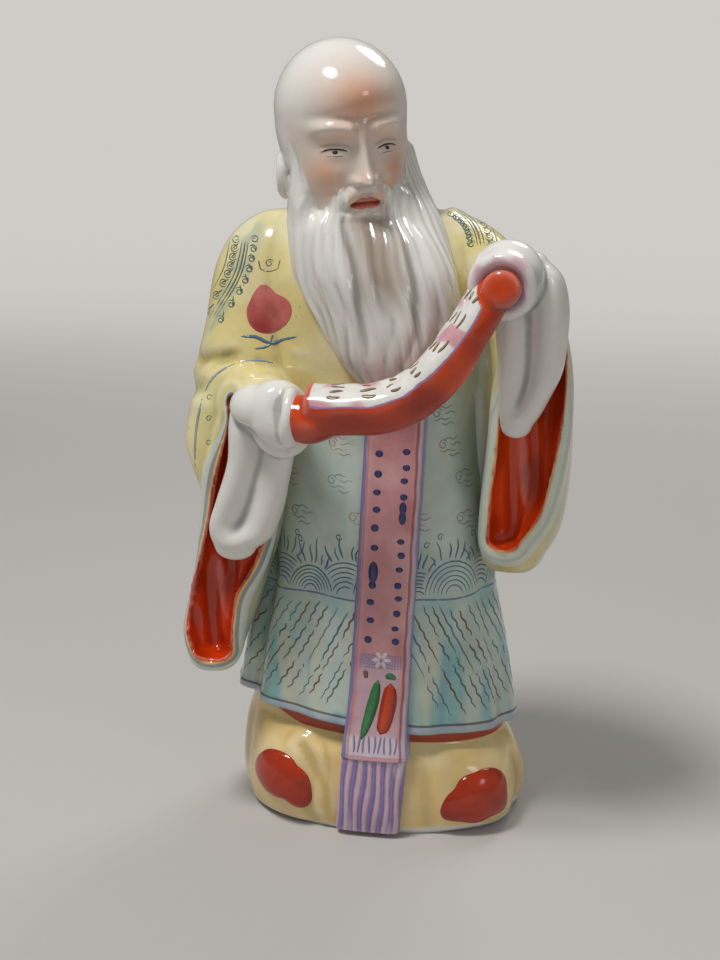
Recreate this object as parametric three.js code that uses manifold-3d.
// Figurine of the god of longevity in glazed porcelain, about ten inches tall.
// The bald old sage stands in a long robe and a wide-sleeved coat, and holds
// an open scroll between his two covered hands.
// Millimetres, +Z up. The origin is the middle of the foot on the shelf, and the
// figure looks towards -Y. Right and left are the figure's own.
import * as THREE from "three";
import { mergeVertices } from "three/addons/utils/BufferGeometryUtils.js";
import Module from "manifold-3d";

const wasm = await Module();
wasm.setup();

// Clay walls and the film of slip that joins the pieces
const lutingGap = 0.3;
const castWall = 4.5;
const footFloor = 5;
const ventRadius = 1.75;
const ventPlace = [-22, 8];

// Levels of the body, each measured from the one below
const hemHeight = 37;
const hemToKnee = 46;
const kneeToWaist = 49;
const waistToCoat = 20;
const coatToChest = 24;
const chestToShoulder = 20;
const shoulderToNeck = 10;
const kneeHeight = hemHeight + hemToKnee;
const waistHeight = kneeHeight + kneeToWaist;
const coatHeight = waistHeight + waistToCoat;
const chestHeight = coatHeight + coatToChest;
const shoulderHeight = chestHeight + chestToShoulder;
const neckHeight = shoulderHeight + shoulderToNeck;

// Widths and depths of the robe and coat at those levels
const hemWidth = 96;
const hemDepth = 64;
const hemTilt = -0.085;
const kneeWidth = 79;
const waistWidth = 71;
const chestWidth = 77;
const bodyDepth = 57;
const shoulderWidth = 66;
const shoulderDepth = 43;
const neckWidth = 40;
const neckDepth = 30;
const bodyShift = -2;
const bodySway = -7;
const pleats = 11;
const pleatDepth = 0.7;

// Foot block, the cream hem of the under-robe that the figure stands on
const footWidth = 98;
const footDepth = 69;
const footBulgeHeight = 12;
const footRimInset = 3;
const footMoundHeight = 3;
const rightMoundAngle = -130;
const leftMoundAngle = -38;
const footCleftAngle = -88;
const footSpigot = 4;

// Shoes
const shoeWidth = 24.5;
const shoeHeight = 18.5;
const shoeThickness = 15;
const shoeSeat = 0.97;
const rightShoeAngle = -125;
const rightShoeHeight = 18.5;
const rightShoeLean = 36;
const leftShoeAngle = -43;
const leftShoeHeight = 15;
const leftShoeLean = -28;

// Front panel and its fringe
const panelWidth = 19.5;
const panelThickness = 12;
const panelProud = 1.8;
const panelFlare = 3;
const panelTopMiddle = 7.6;
const panelBottomMiddle = 2.6;
const panelBottom = 28;
const panelAboveWaist = 14;
const fringeBottom = 2;
const fringeThickness = 9;
const fringeProud = 2;
const fringeCords = 14;
const fringeCordDepth = 0.4;

// Head
const headRise = 20.2;
const headAside = -4.5;
const headForward = 9;
const headTurn = 28;
const headBow = 6;
const headLean = -5;
const skullWidth = 41;
const skullDepth = 43.5;
const crownHeight = 29.4;
const chinDrop = 24;
const neckRadius = 11;
const neckSpigot = 7;
const headBore = 6;
const noseLength = 15;
const noseWidth = 9;
const browLength = 15;
const browThickness = 4.6;
const earHeight = 15.5;
const earWidth = 8.5;
const earThickness = 4.4;
const earDrop = 10.5;
const earInset = 5;

// Beard, moustache and side locks
const beardDrop = 25.7;
const beardLength = 52.5;
const beardWidth = 45;
const beardThickness = 27;
const beardStrands = 11;
const strandDepth = 0.7;
const moustacheWidth = 19;
const moustacheThickness = 5;
const lockLength = 33;
const lockThickness = 8.6;

// Sleeves, cuffs and covered hands
const armThickness = 34;
const raisedArmThickness = 28;
const rightSleeveDrop = 96;
const rightSleeveWidth = 35;
const rightSleeveDepth = 40;
const leftSleeveDrop = 89;
const leftSleeveWidth = 26.5;
const leftSleeveDepth = 31;
const liningDepth = 12;
const rightCuffDrop = 48.5;
const rightCuffWidth = 22.5;
const rightCuffDepth = 17;
const leftCuffDrop = 52;
const leftCuffWidth = 24;
const leftCuffDepth = 20;
const cuffFold = 2.6;
const rightHandSize = [20, 17, 24];
const leftHandSize = [21, 17, 22];

// Scroll and its rolls
const scrollThickness = 15;
const scrollDepth = 15;
const scrollLean = 20;
const scrollRaisedLean = 10;
const scrollRise = 2.2;
const scrollSag = 15.3;
const rollThickness = 14.5;
const rollLength = 11;
const endRollThickness = 12.6;
const endRollLength = 9;

const degrees = Math.PI / 180;
const point = (place) => new THREE.Vector3(...place);

// A closed mesh that is skinned over rings of equal count, with flat ends.
function skin(rings) {
  const sides = rings[0].length;
  const positions = [];
  const triangles = [];
  rings.flat().forEach((p) => positions.push(p.x, p.y, p.z));
  for (let row = 0; row + 1 < rings.length; row += 1) {
    for (let i = 0; i < sides; i += 1) {
      const a = row * sides + i;
      const b = row * sides + ((i + 1) % sides);
      triangles.push(a, b, b + sides, a, b + sides, a + sides);
    }
  }
  const first = positions.length / 3;
  const lastRow = (rings.length - 1) * sides;
  [rings[0], rings[rings.length - 1]].forEach((ends) => {
    const middle = ends.reduce((sum, p) => sum.add(p), new THREE.Vector3()).divideScalar(sides);
    positions.push(middle.x, middle.y, middle.z);
  });
  for (let i = 0; i < sides; i += 1) {
    const next = (i + 1) % sides;
    triangles.push(first, next, i);
    triangles.push(first + 1, lastRow + i, lastRow + next);
  }
  const geometry = new THREE.BufferGeometry();
  geometry.setAttribute("position", new THREE.Float32BufferAttribute(positions, 3));
  geometry.setIndex(triangles);
  return geometry;
}

// Turns a closed geometry into clay that can be joined and cut.
function clay(geometry, placing) {
  const plain = geometry.clone();
  plain.deleteAttribute("normal");
  plain.deleteAttribute("uv");
  if (placing) {
    plain.applyMatrix4(placing);
  }
  const closed = mergeVertices(plain, 1e-4);
  const corners = Float32Array.from(closed.getAttribute("position").array);
  const faces = Uint32Array.from(closed.getIndex().array);
  if (insideOut(corners, faces)) {
    faces.reverse();
  }
  return new wasm.Manifold(new wasm.Mesh({ numProp: 3, vertProperties: corners, triVerts: faces }));
}

function insideOut(corners, faces) {
  let volume = 0;
  const at = (i) => new THREE.Vector3().fromArray(corners, 3 * i);
  for (let i = 0; i < faces.length; i += 3) {
    volume += at(faces[i]).dot(at(faces[i + 1]).cross(at(faces[i + 2])));
  }
  return volume < 0;
}

// A smooth curve through three values of each key, such as a place or two widths and a turn.
function smooth(values) {
  return new THREE.CatmullRomCurve3(values.map(point), false, "catmullrom", 0.5);
}

// The two directions that span a ring. Level rings lie flat, and others stand across the
// spine with their width towards a side that the spine never runs along.
function ringAxes(tangent, level, side, turn) {
  const axis = level ? new THREE.Vector3(0, 0, 1) : tangent.clone().normalize();
  const wide = point(level ? [1, 0, 0] : side).projectOnPlane(axis).normalize();
  wide.applyAxisAngle(axis, turn * degrees);
  const deep = axis.clone().cross(wide);
  return { axis, wide, deep };
}

// A swelling length of clay: each key has a place [x, y, z] and a size [width, depth, turn].
// domes are the heights of its two rounded ends, relief is what it stands proud at an angle,
// and lift is how far a place on it is raised.
function loft(shape, grow = 0) {
  const { keys, sides = 20, steps = 8, level = false, square = 2, domes = [0, 0] } = shape;
  const side = shape.side ?? [0, 0, 1];
  const domeRings = shape.domeRings ?? 3;
  const relief = shape.relief ?? (() => 0);
  const lift = shape.lift ?? (() => 0);
  const spine = smooth(keys.map((key) => key.place));
  const sizes = smooth(keys.map((key) => key.size));
  const outline = (t, shift, scale) => {
    const size = sizes.getPoint(t);
    const { axis, wide, deep } = ringAxes(spine.getTangent(t), level, side, size.z);
    const middle = spine.getPoint(t).addScaledVector(axis, shift);
    const ring = [];
    for (let i = 0; i < sides; i += 1) {
      const angle = (2 * Math.PI * i) / sides;
      const c = Math.cos(angle);
      const s = Math.sin(angle);
      const proud = grow + relief(angle, t);
      const across = Math.sign(c) * Math.abs(c) ** (2 / square) * (size.x / 2 + proud) * scale;
      const along = Math.sign(s) * Math.abs(s) ** (2 / square) * (size.y / 2 + proud) * scale;
      const place = middle.clone().addScaledVector(wide, across).addScaledVector(deep, along);
      place.z += lift(place.x, place.z);
      ring.push(place);
    }
    return ring;
  };
  const climb = level ? Math.sign(keys[keys.length - 1].place[2] - keys[0].place[2]) : 1;
  const rings = [];
  const domeAngles = [];
  for (let i = 1; i <= domeRings; i += 1) {
    domeAngles.push((82 * degrees * i) / domeRings);
  }
  if (domes[0] > 0) {
    domeAngles.slice().reverse().forEach((a) => {
      rings.push(outline(0, -climb * (domes[0] + grow) * Math.sin(a), Math.cos(a)));
    });
  }
  for (let i = 0; i <= steps; i += 1) {
    const flatStart = i === 0 && domes[0] === 0 ? -climb * grow : 0;
    const flatEnd = i === steps && domes[1] === 0 ? climb * grow : 0;
    rings.push(outline(i / steps, flatStart + flatEnd, 1));
  }
  if (domes[1] > 0) {
    domeAngles.forEach((a) => {
      rings.push(outline(1, climb * (domes[1] + grow) * Math.sin(a), Math.cos(a)));
    });
  }
  return clay(skin(rings), shape.placing);
}

// A rounded lump with three full widths, turned by three angles in degrees.
function lump(place, size, turns, grow = 0, placing = new THREE.Matrix4()) {
  const geometry = new THREE.SphereGeometry(1, 18, 10);
  const [x, y, z] = size.map((width) => width / 2 + grow);
  geometry.scale(x, y, z);
  geometry.applyMatrix4(new THREE.Matrix4().makeRotationFromEuler(
    new THREE.Euler(turns[0] * degrees, turns[1] * degrees, turns[2] * degrees)));
  geometry.translate(...place);
  return clay(geometry, placing);
}

// A bump around an angle, for folds, mounds and dents.
function bump(angle, middle, spread) {
  const away = Math.atan2(Math.sin(angle - middle), Math.cos(angle - middle));
  return Math.exp(-((away / spread) ** 2));
}
const frontAngle = -Math.PI / 2;

const mix = THREE.MathUtils.lerp;
const clamp = THREE.MathUtils.clamp;

// A place that is reckoned from another one.
function from(place, offset) {
  return place.map((value, i) => value + offset[i]);
}

// The body sways a little to its right as it rises.
function bodyMiddle(height) {
  const share = clamp((height - hemHeight) / (neckHeight - hemHeight), 0, 1);
  return bodyShift + bodySway * share ** 4;
}

// Body of the robe and coat, one smooth outline from the hem to the neck
const bodyLevels = [
  [hemHeight, hemWidth, hemDepth],
  [mix(hemHeight, kneeHeight, 0.5), mix(hemWidth, kneeWidth, 0.45), mix(hemDepth, bodyDepth, 0.5)],
  [kneeHeight, kneeWidth, bodyDepth + 1.5],
  [mix(kneeHeight, waistHeight, 0.5), mix(kneeWidth, waistWidth, 0.6), bodyDepth],
  [waistHeight, waistWidth, bodyDepth - 1],
  [coatHeight, waistWidth + 2, bodyDepth],
  [chestHeight, chestWidth, bodyDepth - 1],
  [mix(chestHeight, shoulderHeight, 0.55), chestWidth - 2, mix(bodyDepth, shoulderDepth, 0.4)],
  [shoulderHeight, shoulderWidth, shoulderDepth],
  [neckHeight, neckWidth, neckDepth],
];

// Reads the body's width and depth at a height, on straight lines between its levels.
function bodyAt(height) {
  const next = bodyLevels.findIndex(([level]) => level >= height);
  const upper = next < 0 ? bodyLevels.length - 1 : Math.max(next, 1);
  const [lowLevel, lowWidth, lowDepth] = bodyLevels[upper - 1];
  const [level, width, depth] = bodyLevels[upper];
  const share = (height - lowLevel) / (level - lowLevel);
  const size = [mix(lowWidth, width, share), mix(lowDepth, depth, share), 0];
  return { place: [bodyMiddle(height), 0, height], size };
}

function bodyPart({ bottom, top, ...shape }, grow) {
  const between = bodyLevels.filter(([level]) => level > bottom + 1 && level < top - 1);
  const keys = [bodyAt(bottom), ...between.map(([level]) => bodyAt(level)), bodyAt(top)];
  return loft({ keys, sides: 36, steps: 2 * (keys.length - 1), level: true, ...shape }, grow);
}

// The hem isn't level: it drops towards the figure's left, and the robe above it follows.
function tilt(still, full) {
  return (aside, height) => hemTilt * aside * clamp((height - still) / (full - still), 0, 1);
}

function pleatRelief(angle, t) {
  return pleatDepth * Math.cos(pleats * angle) * (1 - t) ** 1.5;
}

function skirtForm(grow) {
  const lift = tilt(kneeHeight, hemHeight);
  return bodyPart({ bottom: hemHeight + lutingGap, top: coatHeight, relief: pleatRelief, lift }, grow);
}

function torsoForm(grow) {
  return bodyPart({ bottom: coatHeight + lutingGap, top: neckHeight, domes: [0, 3] }, grow);
}

// Foot block, with a mound over each shoe and a spigot that fits inside the skirt
const spigotWidth = hemWidth - 2 * castWall - 2 * lutingGap;
const spigotDepth = hemDepth - 2 * castWall - 2 * lutingGap;
const footLift = tilt(footBulgeHeight, hemHeight);

function footRelief(angle, t) {
  const low = Math.sin(Math.PI * Math.min(1, t * 1.25));
  const rightMound = bump(angle, rightMoundAngle * degrees, 0.34);
  const leftMound = bump(angle, leftMoundAngle * degrees, 0.34);
  const cleft = bump(angle, footCleftAngle * degrees, 0.3);
  return low * footMoundHeight * (rightMound + leftMound - 0.5 * cleft);
}

function footForm(grow, bottom = 0, sides = 40, steps = 10) {
  const shoulder = mix(footBulgeHeight, hemHeight, 0.5);
  const keys = [
    { place: [0.5, 0, bottom], size: [footWidth - 2 * footRimInset, footDepth - 2 * footRimInset, 0] },
    { place: [0.5, 0, bottom + footRimInset], size: [footWidth - 2, footDepth - 2, 0] },
    { place: [0.3, 0, Math.max(footBulgeHeight, bottom + 6)], size: [footWidth, footDepth, 0] },
    { place: [-0.5, 0, shoulder], size: [footWidth - 4, footDepth - 4, 0] },
    { place: [-1.5, 0, hemHeight - 5], size: [spigotWidth + 2, spigotDepth + 2, 0] },
    { place: [bodyShift, 0, hemHeight], size: [spigotWidth, spigotDepth, 0] },
  ];
  const shape = { keys, sides, steps, level: true, square: 2.15, relief: footRelief, lift: footLift };
  return loft(shape, grow).add(spigotForm(grow, sides));
}

function spigotForm(grow, sides) {
  const keys = [
    { place: [bodyShift, 0, hemHeight - footSpigot], size: [spigotWidth, spigotDepth, 0] },
    { place: [bodyShift, 0, hemHeight + footSpigot], size: [spigotWidth, spigotDepth, 0] },
  ];
  return loft({ keys, sides, steps: 1, level: true, lift: footLift }, grow);
}

function shoeForm(angle, height, lean) {
  const across = shoeSeat * (footWidth / 2) * Math.cos(angle * degrees);
  const along = shoeSeat * (footDepth / 2) * Math.sin(angle * degrees);
  const size = [shoeWidth, shoeThickness, shoeHeight];
  const turns = [-8, lean, 0.7 * (angle + 90)];
  return (grow) => lump([across, along, height], size, turns, grow);
}

// Front panel, a stole that hangs down the middle of the robe and over the foot
function panelKey(height, extraWidth, extraProud) {
  const body = bodyAt(Math.max(height, hemHeight));
  const share = (height - panelBottom) / (waistHeight + panelAboveWaist - panelBottom);
  const middle = mix(panelBottomMiddle, panelTopMiddle, share);
  const front = -body.size[1] / 2 - panelProud - extraProud;
  const size = [panelWidth + extraWidth, panelThickness, 0];
  return { place: [middle, front + panelThickness / 2, height], size };
}

function panelForm(grow) {
  const keys = [
    panelKey(panelBottom, panelFlare, 2.4),
    panelKey(hemHeight + 4, 1.2, 0.7),
    panelKey(mix(hemHeight, kneeHeight, 0.5), 0.4, 0),
    panelKey(kneeHeight, 0, 0),
    panelKey(mix(kneeHeight, waistHeight, 0.5), 0, 0),
    panelKey(waistHeight + panelAboveWaist, 0, 0),
  ];
  return loft({ keys, sides: 20, steps: 10, level: true, square: 5 }, grow);
}

function fringeRelief(angle) {
  return fringeCordDepth * Math.cos(fringeCords * angle);
}

function fringeForm(grow) {
  const key = (aside, proud, height) => ({
    place: [panelBottomMiddle + aside, fringeThickness / 2 - footDepth / 2 - proud, height],
    size: [panelWidth + 2, fringeThickness, 0],
  });
  const keys = [
    key(-2, fringeProud - 0.8, fringeBottom),
    key(-1.2, fringeProud, footBulgeHeight),
    key(-0.2, fringeProud - 1.2, panelBottom - lutingGap),
  ];
  return loft({ keys, sides: 56, steps: 3, level: true, square: 5, relief: fringeRelief }, grow);
}

// Head, turned to the figure's left and a little bowed. Its own middle is between the ears.
const headPlace = [bodyMiddle(neckHeight) + headAside, -headForward, neckHeight + headRise];
const headPlacing = new THREE.Matrix4()
  .makeTranslation(...headPlace)
  .multiply(new THREE.Matrix4().makeRotationZ(headTurn * degrees))
  .multiply(new THREE.Matrix4().makeRotationX(headBow * degrees))
  .multiply(new THREE.Matrix4().makeRotationY(headLean * degrees));
const faceFront = -skullDepth / 2;

function skullForm(grow) {
  const key = (forward, height, share) => ({
    place: [0, -forward, height],
    size: [skullWidth * share, skullDepth * share, 0],
  });
  const keys = [
    key(9.5, -chinDrop, 0.42),
    key(6, -chinDrop * 0.75, 0.68),
    key(2.5, -chinDrop * 0.42, 0.87),
    key(0, 0, 0.98),
    key(-0.3, crownHeight * 0.3, 1),
  ];
  const domes = [4, crownHeight * 0.7];
  return loft({ keys, sides: 30, steps: 8, level: true, domes, domeRings: 5, placing: headPlacing }, grow);
}

function neckForm(radius, bottom, top, grow = 0) {
  const neckMiddle = bodyMiddle(neckHeight) - 1;
  const size = [2 * radius, 2 * radius, 0];
  const keys = [
    { place: [neckMiddle, -1, bottom], size },
    { place: [mix(neckMiddle, headPlace[0], 0.5), mix(-1, headPlace[1], 0.5), mix(bottom, top, 0.5)], size },
    { place: [headPlace[0] + 1, headPlace[1] + 1, top], size },
  ];
  return loft({ keys, sides: 16, steps: 2, level: true }, grow);
}

function noseForm(grow) {
  const bridge = faceFront - 0.6;
  const keys = [
    { place: [0, bridge + 3.2, 2], size: [noseWidth * 0.45, 7, 0] },
    { place: [0, bridge + 0.8, -noseLength * 0.35], size: [noseWidth * 0.55, 8, 0] },
    { place: [0, bridge - 0.6, -noseLength * 0.68], size: [noseWidth, 9, 0] },
  ];
  return loft({ keys, sides: 12, steps: 4, level: true, domes: [1.5, 2], placing: headPlacing }, grow);
}

function browForm(side, grow) {
  const front = faceFront + 1.2;
  const thick = browThickness;
  const keys = [
    { place: [side * browLength * 0.2, front, 3.6], size: [thick, thick, 0] },
    { place: [side * browLength * 0.6, front + 1.6, 5.6], size: [thick, thick, 0] },
    { place: [side * browLength, front + 5.6, 3], size: [thick * 0.7, thick * 0.7, 0] },
  ];
  const shape = { keys, sides: 8, steps: 4, side: [0, 1, 0], domes: [1.5, 1.5], domeRings: 2 };
  return loft({ ...shape, placing: headPlacing }, grow);
}

function headForm(grow) {
  const neck = neckForm(neckRadius, neckHeight - neckSpigot, neckHeight + 12, grow);
  return skullForm(grow).add(neck).add(noseForm(grow)).add(browForm(-1, grow)).add(browForm(1, grow));
}

function earForm(side) {
  return (grow) => {
    const high = earHeight / 2 + grow;
    const wide = earWidth / 2 + grow;
    const outline = new THREE.Shape();
    outline.moveTo(-wide * 0.5, -high);
    outline.bezierCurveTo(-wide * 1.3, -high * 0.5, -wide * 1.5, high, 0, high);
    outline.bezierCurveTo(wide * 1.7, high, wide * 1.2, -high * 0.2, wide * 0.4, -high * 0.75);
    outline.bezierCurveTo(wide * 0.2, -high, -wide * 0.2, -high * 1.06, -wide * 0.5, -high);
    const rounding = earThickness / 2.4;
    const root = 3 + grow;
    const geometry = new THREE.ExtrudeGeometry(outline, {
      depth: earThickness + root + grow,
      bevelThickness: rounding,
      bevelSize: rounding * 0.5,
      bevelOffset: -rounding * 0.5,
      bevelSegments: 2,
      curveSegments: 5,
    });
    geometry.translate(0, 0, -root - rounding);
    geometry.rotateX(Math.PI / 2);
    geometry.rotateZ(side < 0 ? -72 * degrees : 72 * degrees + Math.PI);
    geometry.translate(side * (skullWidth / 2 - earInset), 1.5, -earDrop);
    return clay(geometry, headPlacing);
  };
}

// Beard with combed strands, from under the lip to behind the scroll
function strandRelief(angle, t) {
  const front = 0.5 - 0.5 * Math.sin(angle);
  return strandDepth * Math.cos(beardStrands * angle + 2 * t) * front;
}

function beardForm(grow) {
  const top = from(headPlace, [10.1, -10.5, -beardDrop]);
  const key = (share, aside, forward, width, thickness, turn) => ({
    place: from(top, [aside, -forward, -beardLength * (1 - share)]),
    size: [beardWidth * width, beardThickness * thickness, turn],
  });
  const keys = [
    key(0.06, 9.8, 8.5, 0.42, 0.46, 0),
    key(0.22, 9.3, 6.5, 0.76, 0.78, 0),
    key(0.46, 8.6, 5, 0.94, 0.97, 4),
    key(0.71, 5.8, 4, 1, 1, 8),
    key(0.9, 2.2, 2, 0.98, 1, 12),
    key(1, 0, 1, 0.84, 0.86, 20),
    key(1.08, -1.2, 3, 0.46, 0.5, 26),
  ];
  return loft({ keys, sides: 42, steps: 9, level: true, domes: [3, 2], relief: strandRelief }, grow);
}

function moustacheForm(grow) {
  const front = faceFront - 0.4;
  const key = (side, inward, height, share) => ({
    place: [(side * moustacheWidth) / 2, front + inward, height],
    size: [moustacheThickness * share, moustacheThickness * share, 0],
  });
  const keys = [
    key(-1, 5.2, -22.5, 0.6),
    key(-0.7, 2, -16.5, 1),
    key(0, -0.6, -12.6, 0.86),
    key(0.7, 2, -16.5, 1),
    key(1, 5.2, -22.5, 0.6),
  ];
  const shape = { keys, sides: 10, steps: 8, side: [0, 1, 0], domes: [1, 1], domeRings: 2 };
  return loft({ ...shape, placing: headPlacing }, grow);
}

// A side lock falls from the temple past the ear, and flares out to meet the beard.
function lockForm(side, flare, forward) {
  return (grow) => {
    const out = skullWidth / 2 - 1.6;
    const key = (share, aside, ahead, thickness) => ({
      place: [side * (out + aside), -ahead, 3 - lockLength * share],
      size: [lockThickness * thickness, lockThickness * thickness, 0],
    });
    const keys = [
      key(0, 0, 4, 0.5),
      key(0.3, 0.6, 6.5, 0.9),
      key(0.6, 0.3 * flare - 0.6, 8 + 0.4 * forward, 1.1),
      key(1, flare, 9 + forward, 1.35),
    ];
    const shape = { keys, sides: 12, steps: 6, side: [0, 1, 0], domes: [1.5, 3] };
    return loft({ ...shape, placing: headPlacing }, grow);
  };
}

// Shoulders, elbows and hands, from which the sleeves, cuffs and scroll are reckoned
const rightShoulder = [bodyMiddle(shoulderHeight) - shoulderWidth / 2, 0, shoulderHeight];
const rightElbow = from(rightShoulder, [-2.5, -12, -49]);
const rightHand = from(rightShoulder, [14.3, -45.5, -50.5]);
const leftShoulder = [bodyMiddle(shoulderHeight) + shoulderWidth / 2, 0, shoulderHeight];
const leftElbow = from(leftShoulder, [21, -15, -19]);
const leftHand = from(leftShoulder, [16, -39, -9]);

// A hanging piece of cloth: each row has its share of the drop above the lower edge, its
// shift aside and back, its shares of the width and depth, and its turn.
function hanging(top, drop, width, depth, rows) {
  return rows.map(([share, aside, back, wide, deep, turn]) => ({
    place: from(top, [aside, back, -drop * (1 - share)]),
    size: [width * wide, depth * deep, turn],
  }));
}

const rightBag = hanging(rightElbow, rightSleeveDrop, rightSleeveWidth, rightSleeveDepth, [
  [0.06, -10.5, -10, 0.48, 0.55, 8],
  [0.16, -9.5, -10, 0.63, 0.68, 8],
  [0.32, -5.5, -9, 0.68, 0.78, 4],
  [0.49, -1.5, -8, 0.72, 0.85, 0],
  [0.66, 0.5, -5.5, 0.78, 0.95, -4],
  [0.82, -1, -3, 1.02, 1, -10],
  [0.95, -0.5, -2, 0.98, 0.92, -14],
]);

const leftBag = hanging(leftElbow, leftSleeveDrop, leftSleeveWidth, leftSleeveDepth, [
  [0.07, -2.5, 2, 0.75, 0.65, -6],
  [0.18, -0.5, 2, 0.94, 0.81, -6],
  [0.33, 1, 2, 1, 0.9, -4],
  [0.52, 2, 1, 0.98, 0.97, 0],
  [0.72, 2, 0, 0.94, 1, 0],
  [0.88, 0, 0, 0.91, 1, 4],
  [0.99, -2.5, 1, 0.87, 0.9, 8],
]);

// The openings of the sleeves slant: each starts as a wedge at the wrist.
const rightLining = hanging(rightElbow, rightSleeveDrop, rightSleeveWidth, 2 * liningDepth, [
  [0.1, -8.7, -24, 0.36, 1, 8],
  [0.2, -10, -24, 0.46, 1, 8],
  [0.32, -8.2, -24, 0.475, 1, 4],
  [0.43, -3.6, -24, 0.53, 1, 0],
  [0.55, 0.1, -24, 0.53, 1, 0],
  [0.7, 1.8, -24, 0.47, 1, 0],
  [0.85, 4, -24, 0.4, 1, 0],
  [0.96, 5, -24, 0.33, 1, 0],
]);

const leftLining = hanging(leftElbow, leftSleeveDrop, leftSleeveWidth, 2 * liningDepth, [
  [0.15, -5, -12.5, 0.38, 1, 0],
  [0.24, -2.2, -12.5, 0.56, 1, 0],
  [0.34, -0.3, -12.5, 0.65, 1, 0],
  [0.5, 1.8, -12.5, 0.68, 1, 0],
  [0.65, 3.2, -12.5, 0.7, 1, 0],
  [0.77, 4.8, -12.5, 0.62, 1, 0],
  [0.86, 7, -12.5, 0.42, 1, 0],
]);

function armKey(shoulder, thickness, offset, share) {
  return { place: from(shoulder, offset), size: [thickness * share, thickness * share, 0] };
}

const rightArm = [
  armKey(rightShoulder, armThickness, [17, 1, -6], 0.84),
  armKey(rightShoulder, armThickness, [3, -1, -12.5], 1),
  armKey(rightShoulder, armThickness, [-2, -4, -34], 1.06),
  armKey(rightElbow, armThickness, [-1.5, 0, -1], 1),
  armKey(rightHand, armThickness, [-12, 21.5, -2.5], 0.74),
  armKey(rightHand, armThickness, [-6, 11.5, -1.5], 0.55),
];

const leftArm = [
  armKey(leftShoulder, raisedArmThickness, [-11, 2, -3], 0.96),
  armKey(leftShoulder, raisedArmThickness, [1, 1, -10], 1),
  armKey(leftShoulder, raisedArmThickness, [12, -5, -18], 0.96),
  armKey(leftElbow, raisedArmThickness, [-1.5, -2, 0.5], 0.82),
  armKey(leftHand, raisedArmThickness, [4.5, 11, -7], 0.62),
];

function sleeveForm(arm, bag, side) {
  return (grow) => {
    const armPart = loft({ keys: arm, sides: 18, steps: 8, side, domes: [4, 2] }, grow);
    const bagShape = { keys: bag, sides: 22, steps: 9, level: true, square: 2.8, domes: [6, 7] };
    return armPart.add(loft(bagShape, grow));
  };
}

// The opening of a sleeve: a recess that faces forwards, with the cloth's rim round it
function liningForm(keys) {
  return loft({ keys, sides: 18, steps: 10, level: true, square: 2.6, domes: [3, 3], domeRings: 2 });
}

// White cuffs that cover the hands and hang in front of the sleeve linings
function cuffRelief(angle, t) {
  return -cuffFold * bump(angle, frontAngle, 0.42) * Math.sin(Math.PI * Math.min(1, 0.25 + t));
}

const rightCuff = hanging(rightHand, rightCuffDrop, rightCuffWidth, rightCuffDepth, [
  [0.03, -16.3, 9, 0.58, 0.53, 0],
  [0.12, -14.1, 8.5, 0.88, 0.72, 0],
  [0.22, -12.8, 8.3, 0.96, 0.8, 0],
  [0.36, -10.6, 8, 0.95, 0.88, 0],
  [0.52, -8.7, 7.8, 0.91, 0.96, 0],
  [0.7, -6.8, 7.5, 0.91, 1, 0],
  [0.96, -5.8, 7, 0.93, 1, 0],
  [1.09, -4.3, 7.5, 0.76, 0.76, 0],
]);

const leftCuff = hanging(leftHand, leftCuffDrop, leftCuffWidth, leftCuffDepth, [
  [0.1, 3.2, 12, 0.39, 0.45, 0],
  [0.22, 4.9, 11.5, 0.58, 0.6, 0],
  [0.42, 7, 10.5, 0.78, 0.78, 0],
  [0.62, 7.3, 9.5, 0.875, 0.93, 0],
  [0.88, 6.5, 8.5, 0.9, 1, 0],
  [1.06, 4.5, 8, 0.8, 0.85, 0],
]);

function cuffForm(keys) {
  const shape = { keys, sides: 22, steps: 8, level: true, domes: [4, 3], domeRings: 2, relief: cuffRelief };
  return (grow) => loft(shape, grow);
}

// Scroll, which sags between its two rolls and leans back against the beard
const rightRoll = from(rightHand, [11.2, -5, -0.5]);
const leftRoll = from(leftHand, [-0.9, -6.5, -2]);

function scrollForm(grow) {
  const keys = [0, 0.3, 0.56, 0.77, 0.91, 1].map((share) => {
    const place = rightRoll.map((value, i) => mix(value, from(leftHand, [-2.5, -3, -4])[i], share));
    const sag = -scrollSag * Math.sin(Math.PI * share ** 1.4);
    const taper = 1 - 0.12 * share ** 3;
    const lean = mix(scrollLean, scrollRaisedLean, share);
    const size = [scrollDepth * taper, scrollThickness * taper, lean];
    return { place: from(place, [0, 0.15 * sag, sag + scrollRise]), size };
  });
  return loft({ keys, sides: 16, steps: 12, side: [0, 1, 0], square: 2.7, domes: [1.5, 1.5] }, grow);
}

function rightRollForm(grow) {
  const key = (aside, share) => ({
    place: from(rightRoll, [aside, -0.5, 0]),
    size: [rollThickness * share, rollThickness * share, 0],
  });
  const keys = [key(-rollLength / 2, 0.9), key(0, 1), key(rollLength / 2, 0.9)];
  return loft({ keys, sides: 18, steps: 4, domes: [2, 2] }, grow);
}

function leftRollForm(grow) {
  const size = [endRollThickness, endRollThickness, 0];
  const keys = [
    { place: from(leftRoll, [0.8, endRollLength / 2, 0]), size },
    { place: from(leftRoll, [0, -endRollLength / 2, 0]), size },
  ];
  return loft({ keys, sides: 20, steps: 1, domes: [1, 1.6] }, grow);
}

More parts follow.
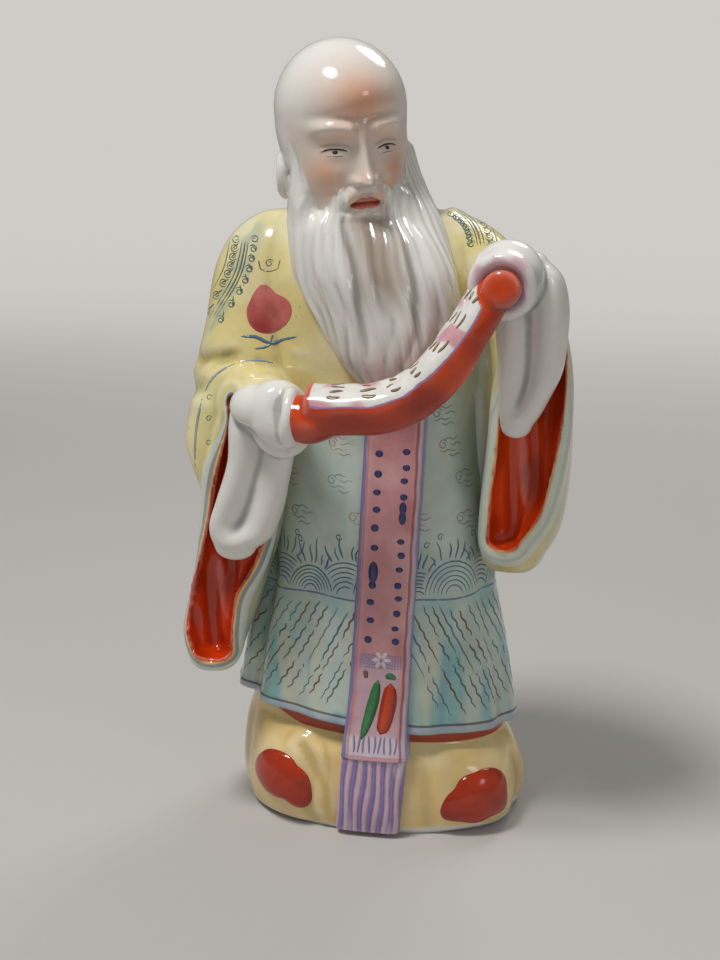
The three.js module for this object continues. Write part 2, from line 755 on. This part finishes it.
// The pieces in the order that they are set: each is trimmed to the ones before it.
const forms = {
  foot_block: (grow) => footForm(grow),
  skirt: skirtForm,
  head: headForm,
  torso: torsoForm,
  right_ear: earForm(-1),
  left_ear: earForm(1),
  moustache: moustacheForm,
  right_side_lock: lockForm(-1, -4, 0),
  left_side_lock: lockForm(1, 2.5, 6),
  beard: beardForm,
  front_panel: panelForm,
  panel_fringe: fringeForm,
  right_shoe: shoeForm(rightShoeAngle, rightShoeHeight, rightShoeLean),
  left_shoe: shoeForm(leftShoeAngle, leftShoeHeight, leftShoeLean),
  right_scroll_roll: rightRollForm,
  left_scroll_roll: leftRollForm,
  right_hand: (grow) => lump(from(rightHand, [1, 0, -2]), rightHandSize, [0, -14, 0], grow),
  left_hand: (grow) => lump(leftHand, leftHandSize, [0, 20, 0], grow),
  scroll_band: scrollForm,
  right_cuff: cuffForm(rightCuff),
  left_cuff: cuffForm(leftCuff),
  right_sleeve: sleeveForm(rightArm, rightBag, [1, 0, 0]),
  left_sleeve: sleeveForm(leftArm, leftBag, [0, 0, 1]),
};

// What is cut out of a piece: the casting's hollow, or the opening of a sleeve.
function footHollow() {
  const inside = { keys: [hemHeight - 2 * footSpigot, hemHeight + 2 * footSpigot].map((height) => ({
    place: [bodyShift, 0, height],
    size: [spigotWidth - 2 * castWall, spigotDepth - 2 * castWall, 0],
  })) };
  const vent = new THREE.CylinderGeometry(ventRadius, ventRadius, 4 * footFloor, 14);
  vent.rotateX(Math.PI / 2);
  vent.translate(...ventPlace, 0);
  const throat = loft({ ...inside, sides: 20, steps: 1, level: true });
  const bowl = footForm(-castWall, footFloor - castWall, 20, 5);
  return bowl.add(throat).add(clay(vent));
}

function headHollow() {
  return neckForm(headBore, neckHeight - 2 * neckSpigot, neckHeight + headRise);
}

const plainWall = { sides: 20, steps: 5, domeRings: 2 };
const hollowOverlap = 6;

function skirtHollow() {
  const ends = { bottom: hemHeight - 2 * hollowOverlap, top: coatHeight + hollowOverlap };
  return bodyPart({ ...ends, ...plainWall }, -castWall);
}

function torsoHollow() {
  const ends = { bottom: coatHeight - hollowOverlap, top: neckHeight, domes: [0, 3] };
  return bodyPart({ ...ends, ...plainWall }, -castWall);
}

const hollows = {
  foot_block: footHollow,
  skirt: skirtHollow,
  torso: torsoHollow,
  head: headHollow,
  right_sleeve: () => liningForm(rightLining),
  left_sleeve: () => liningForm(leftLining),
};

function finished(name) {
  const earlier = Object.keys(forms).slice(0, Object.keys(forms).indexOf(name));
  const trimmed = earlier.reduce(
    (solid, neighbour) => solid.subtract(forms[neighbour](lutingGap)),
    forms[name](0),
  );
  return hollows[name] ? trimmed.subtract(hollows[name]()) : trimmed;
}

// Colours of the glaze and enamels
const porcelain = { color: "#ece9e2", roughness: 0.12, metalness: 0 };
const coatYellow = { color: "#ddd398", roughness: 0.14, metalness: 0 };
const robeCeladon = { color: "#a9c2b8", roughness: 0.14, metalness: 0 };
const footCream = { color: "#d8bd84", roughness: 0.16, metalness: 0 };
const vermilion = { color: "#b8330f", roughness: 0.15, metalness: 0 };
const panelPink = { color: "#cc8f92", roughness: 0.16, metalness: 0 };
const fringeLilac = { color: "#9a80aa", roughness: 0.16, metalness: 0 };

const glazes = {
  foot_block: footCream,
  skirt: robeCeladon,
  torso: coatYellow,
  front_panel: panelPink,
  panel_fringe: fringeLilac,
  right_shoe: vermilion,
  left_shoe: vermilion,
  right_sleeve: coatYellow,
  left_sleeve: coatYellow,
  scroll_band: vermilion,
  right_scroll_roll: vermilion,
  left_scroll_roll: vermilion,
};

// Makes the named mesh, with its own origin at the middle of its box.
function piece(name) {
  const { vertProperties, triVerts } = finished(name).getMesh();
  const geometry = new THREE.BufferGeometry();
  geometry.setAttribute("position", new THREE.BufferAttribute(Float32Array.from(vertProperties), 3));
  geometry.setIndex(new THREE.BufferAttribute(Uint32Array.from(triVerts), 1));
  geometry.computeBoundingBox();
  const middle = geometry.boundingBox.getCenter(new THREE.Vector3()).round();
  geometry.translate(-middle.x, -middle.y, -middle.z);
  geometry.computeVertexNormals();
  const mesh = new THREE.Mesh(geometry, new THREE.MeshStandardMaterial(glazes[name] ?? porcelain));
  mesh.name = name;
  mesh.position.copy(middle);
  return mesh;
}

function group(...names) {
  const set = new THREE.Group();
  names.forEach((name) => set.add(piece(name)));
  return set;
}

const figurine = new THREE.Group();
figurine.add(group("foot_block", "right_shoe", "left_shoe"));
figurine.add(group("skirt", "front_panel", "panel_fringe"));
figurine.add(group("torso"));
figurine.add(group("head", "right_ear", "left_ear"));
figurine.add(group("moustache", "beard", "right_side_lock", "left_side_lock"));
figurine.add(group("right_sleeve", "right_cuff", "right_hand"));
figurine.add(group("left_sleeve", "left_cuff", "left_hand"));
figurine.add(group("scroll_band", "right_scroll_roll", "left_scroll_roll"));

export default figurine;
